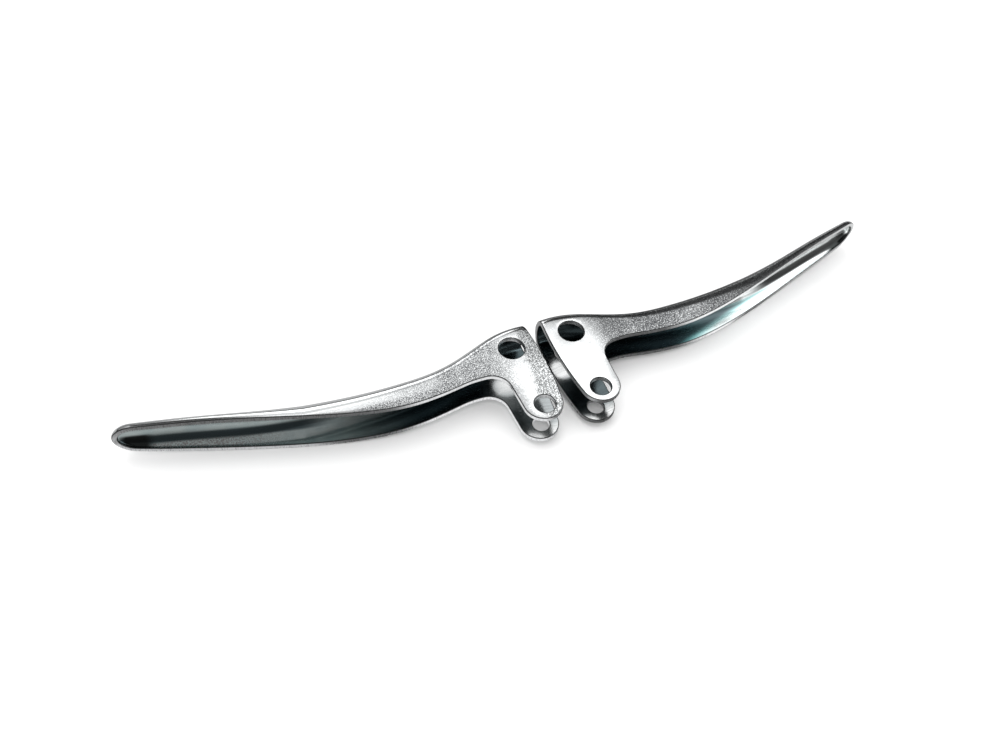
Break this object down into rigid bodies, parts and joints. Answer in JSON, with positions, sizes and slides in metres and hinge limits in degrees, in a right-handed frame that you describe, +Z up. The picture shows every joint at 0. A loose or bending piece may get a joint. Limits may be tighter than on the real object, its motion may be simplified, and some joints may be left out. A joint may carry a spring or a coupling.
{
  "type": "motorcycle hand lever set",
  "caption": "Mirror-image clutch and front brake hand levers, each folded from zinc-plated sheet steel with clevis ears, pivot and nipple holes and a closed round tip.",
  "frame": {"origin": "on the resting surface, under the middle of the pair's bounding box", "axes": "+Z up along the pivot axes, +X towards the brake lever's tip, +Y towards the rounded backs, away from the clevis ears"},
  "size_m": [0.3198, 0.0524, 0.02],
  "materials": {
    "zinc_plate_clutch": "bright zinc plate, fine grained outside, smooth inside",
    "zinc_plate_brake": "bright zinc plate, fine grained outside, smooth inside"
  },
  "bodies": {
    "clutch_lever": {"clutch_lever": "zinc_plate_clutch"},
    "brake_lever": {"brake_lever": "zinc_plate_brake"}
  },
  "joints": [
    {"name": "brake_lever_pivot", "type": "hinge", "parent": "clutch_lever", "child": "brake_lever", "pos_m": [0.0116, -0.01955, 0.01], "axis": [0, 0, -1], "range_deg": [0, 25]}
  ]
}
